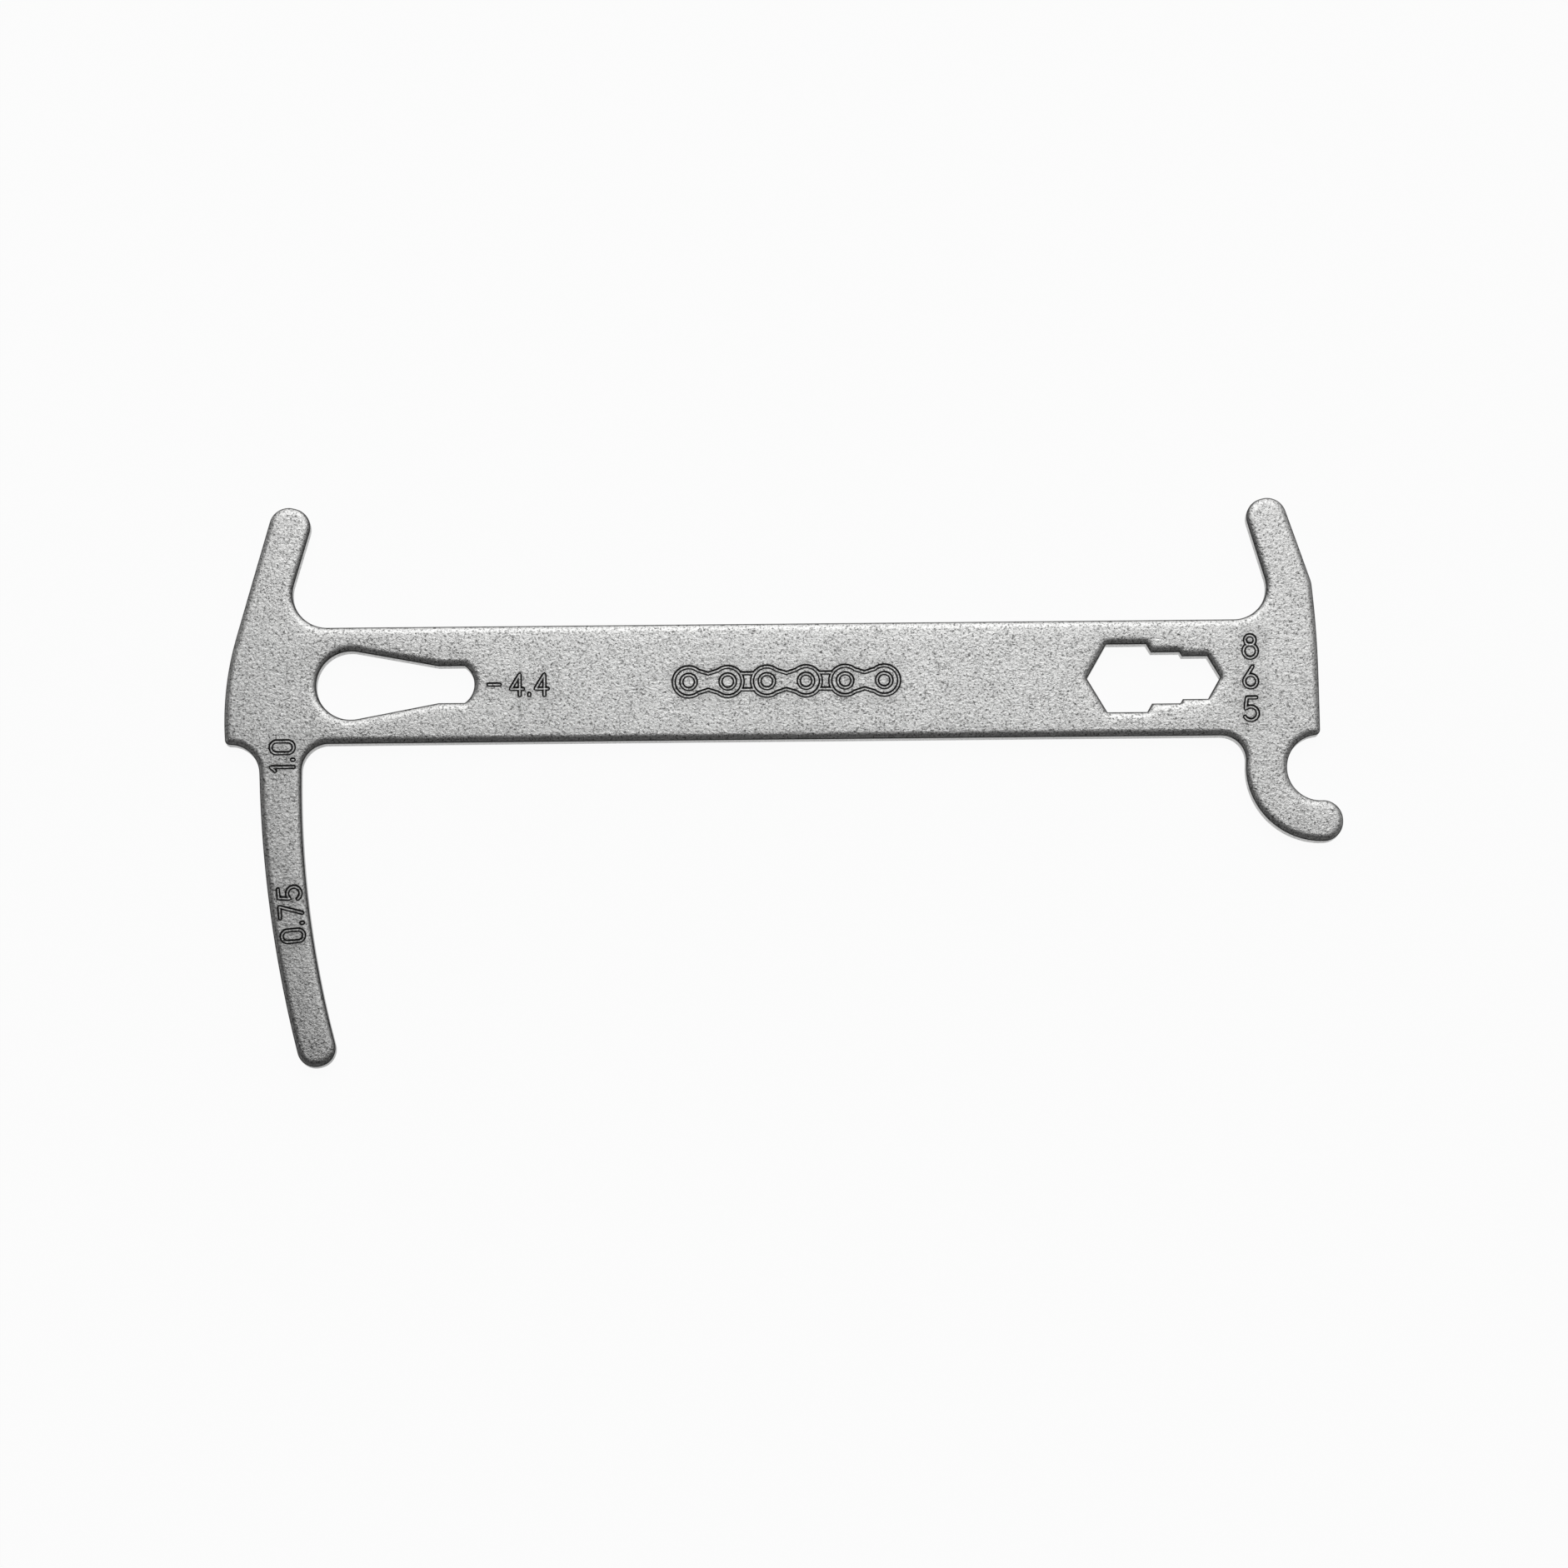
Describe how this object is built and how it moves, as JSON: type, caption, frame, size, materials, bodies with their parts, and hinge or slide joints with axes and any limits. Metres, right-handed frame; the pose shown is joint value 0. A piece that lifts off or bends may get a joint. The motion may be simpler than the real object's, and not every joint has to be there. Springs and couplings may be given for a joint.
{
  "type": "chain wear gauge",
  "caption": "Flat stamped steel gauge with a roller hook, a curved measuring cam, a pair of chain prongs, a stepped hexagon slot and a tapered slot.",
  "frame": {"origin": "middle of the plate's outline, on its back face", "axes": "+X along the bar, from the measuring cam to the roller hook; +Y from the cam to the prongs; +Z out of the marked front face"},
  "size_m": [0.131, 0.0666, 0.002],
  "materials": {
    "steel": "tumbled satin, fine grain"
  },
  "bodies": {
    "root": {"gauge_plate": "steel"}
  },
  "joints": []
}
